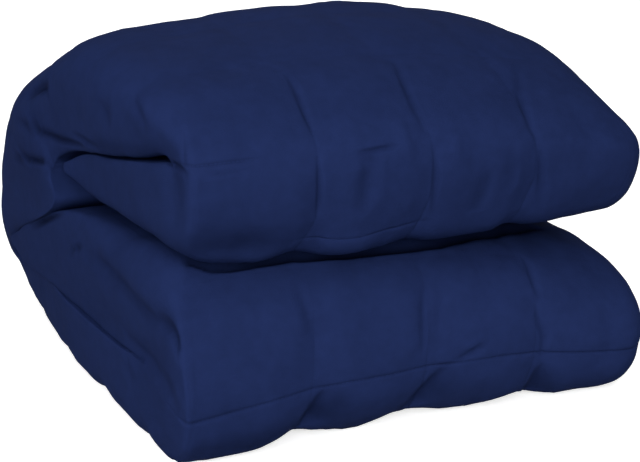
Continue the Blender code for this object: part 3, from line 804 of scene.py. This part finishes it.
class Shader:
    """A material's nodes, made one by one."""

    def __init__(self, name):
        self.material = bpy.data.materials.new(name)
        self.material.use_nodes = True
        self.nodes = self.material.node_tree.nodes
        self.surface = self.nodes["Principled BSDF"]

    def add(self, kind, settings, *inputs, output=0, **named):
        """One node with its settings and inputs; the inputs are values or signals."""
        node = self.nodes.new(kind)
        for name, value in settings.items():
            setattr(node, name, value)
        for name, value in list(enumerate(inputs)) + list(named.items()):
            key = name if isinstance(name, int) else name.replace("_", " ")
            self.join(value, node.inputs[key])
        return Signal(self, node.outputs[output])

    def join(self, value, socket):
        """Set a socket, or link a signal to it."""
        if isinstance(value, Signal):
            self.material.node_tree.links.new(value.socket, socket)
        else:
            socket.default_value = value

    def uniform(self, **values):
        """Set the surface's own sockets that don't vary."""
        for name, value in values.items():
            self.surface.inputs[name.replace("_", " ")].default_value = value


def quilted_cloth():
    """Matt navy cloth: a fine weave with a brushed nap, a little mottled, and rows of stitches
    sunk between the squares.  The weave and the stitches follow the cloth's own coordinates,
    and the nap and the mottling the blanket's own, all in metres.  Its colour also carries
    painted shade, darker in the stitched grooves and in the creases."""
    cloth = Shader("navy_cloth")
    place = cloth.add("ShaderNodeUVMap", {"uv_map": "cloth"}, output="UV")
    split = cloth.add("ShaderNodeSeparateXYZ", {}, place)
    across = Signal(cloth, split.socket.node.outputs["X"])
    along = Signal(cloth, split.socket.node.outputs["Y"])
    solid = cloth.add("ShaderNodeTexCoord", {}, output="Object")

    def noise(scale, detail, coordinate=solid):
        """Even noise about 0, from about -0.5 to 0.5."""
        found = cloth.add("ShaderNodeTexNoise", {}, Vector=coordinate, Scale=scale, Detail=detail)
        return found - 0.5

    def stitches(distance, run, depth):
        """A row of stitches: a thread along a seam, cut into dashes, as deep as its groove."""
        dash = (run * (2 * np.pi / STITCH_LENGTH)).math("SINE").math("GREATER_THAN", STITCH_CUT)
        return distance.hump(THREAD_WIDTH) * dash * depth

    across_seam = cloth.add("ShaderNodeAttribute", {"attribute_name": "cross_seam"}, output="Fac")
    along_seam = cloth.add("ShaderNodeAttribute", {"attribute_name": "long_seam"}, output="Fac")
    to_long = across.nearest(SQUARE * CM)
    to_cross = along.nearest(SQUARE * CM)
    # where the stitched grooves lie: besides their bump they get painted shade in the colour
    groove = to_long.hump(GROOVE_WIDTH) * along_seam + to_cross.hump(GROOVE_WIDTH) * across_seam
    thread = stitches(to_long, along, along_seam) + stitches(to_cross, across, across_seam)
    threads = 2 * np.pi / THREAD_PITCH
    weave = (across * threads).math("SINE") * (along * threads).math("SINE")
    nap = noise(NAP_GRAIN, NAP_DETAIL)
    coarse, fine = (noise(grain, detail) * MOTTLE for grain, detail in MOTTLES)
    mottle = coarse + fine + nap * NAP_SHADE
    # painted shade: the creases' attribute and the grooves darken the colour where shade falls; the mottle and
    # the lighter threads are the cloth's own tone
    crease = cloth.add("ShaderNodeAttribute", {"attribute_name": "shade"}, output="Fac")
    shade = (1.0 + mottle + thread * THREAD_SHADE - groove * GROOVE_PAINTED_SHADE) * (1.0 - crease)
    colour = cloth.add("ShaderNodeVectorMath", {"operation": "SCALE"}, CLOTH_COLOUR, Scale=shade)
    bump = weave * WEAVE_HEIGHT + nap * NAP_HEIGHT + thread * THREAD_HEIGHT - groove * GROOVE_HEIGHT
    normal = cloth.add("ShaderNodeBump", {}, Height=bump, Distance=1.0)
    cloth.join(colour, cloth.surface.inputs["Base Color"])
    cloth.join(normal, cloth.surface.inputs["Normal"])
    cloth.uniform(Roughness=CLOTH_ROUGHNESS, Specular_IOR_Level=CLOTH_SHINE)
    return cloth.material


def floor():
    """A wide pale floor that glows a little, and lights nothing itself."""
    mesh = bpy.data.meshes.new("floor")
    turns = ((-1, -1), (1, -1), (1, 1), (-1, 1))
    corners = [(x * FLOOR_REACH, y * FLOOR_REACH, 0) for x, y in turns]
    mesh.from_pydata(corners, [], [(0, 1, 2, 3)])
    material = bpy.data.materials.new("pale_floor")
    material.use_nodes = True
    shader = material.node_tree.nodes["Principled BSDF"]
    shader.inputs["Base Color"].default_value = (FLOOR_WHITE, FLOOR_WHITE, FLOOR_WHITE, 1.0)
    shader.inputs["Roughness"].default_value = FLOOR_ROUGHNESS
    shader.inputs["Specular IOR Level"].default_value = 0.0
    shader.inputs["Emission Color"].default_value = (1.0, 1.0, 1.0, 1.0)
    shader.inputs["Emission Strength"].default_value = FLOOR_GLOW
    mesh.materials.append(material)
    obj = bpy.data.objects.new("floor", mesh)
    bpy.context.collection.objects.link(obj)
    obj.visible_diffuse = False


def soft_light(name, place, size, watts):
    """A square light of the given size, turned to LIGHT_TARGET."""
    data = bpy.data.lights.new(name, "AREA")
    data.shape = "SQUARE"
    data.size = size
    data.energy = watts
    obj = bpy.data.objects.new(name, data)
    toward = Vector(LIGHT_TARGET) - Vector(place)
    turn = toward.to_track_quat("-Z", "Y").to_matrix().to_4x4()
    obj.matrix_world = Matrix.Translation(place) @ turn
    bpy.context.collection.objects.link(obj)


def studio():
    """Pale surroundings that are brighter above, and three soft lights: front, back and left."""
    world = bpy.data.worlds.new("studio")
    world.use_nodes = True
    nodes = world.node_tree.nodes
    background = nodes["Background"]
    coordinate = nodes.new("ShaderNodeTexCoord")
    separate = nodes.new("ShaderNodeSeparateXYZ")
    ramp = nodes.new("ShaderNodeMapRange")
    ends = (*SKY_HEIGHTS, *SKY_STRENGTHS)
    for socket, value in zip(("From Min", "From Max", "To Min", "To Max"), ends):
        ramp.inputs[socket].default_value = value
    world.node_tree.links.new(coordinate.outputs["Generated"], separate.inputs[0])
    world.node_tree.links.new(separate.outputs["Z"], ramp.inputs["Value"])
    world.node_tree.links.new(ramp.outputs["Result"], background.inputs["Strength"])
    background.inputs["Color"].default_value = (1.0, 1.0, 1.0, 1.0)
    bpy.context.scene.world = world
    for name, place, size, watts in LIGHTS:
        soft_light(name, place, size, watts)


def main():
    """The whole scene: the view, the studio, the floor and the blanket in its place."""
    bpy.context.scene.view_settings.view_transform = "Standard"
    camera()
    studio()
    floor()
    points, across, cloth, seams = cloth_grid()
    # shade is painted shade for the cloth's colour, from the creases
    points, shade = creased(placed(points))
    mesh = quilt_mesh(points, across * CM, cloth * CM, (*seams, shade))
    mesh.materials.append(quilted_cloth())
    blanket = bpy.data.objects.new("quilted_blanket", mesh)
    bpy.context.collection.objects.link(blanket)
    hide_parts("blanket")
    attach(blanket, "root")


main()
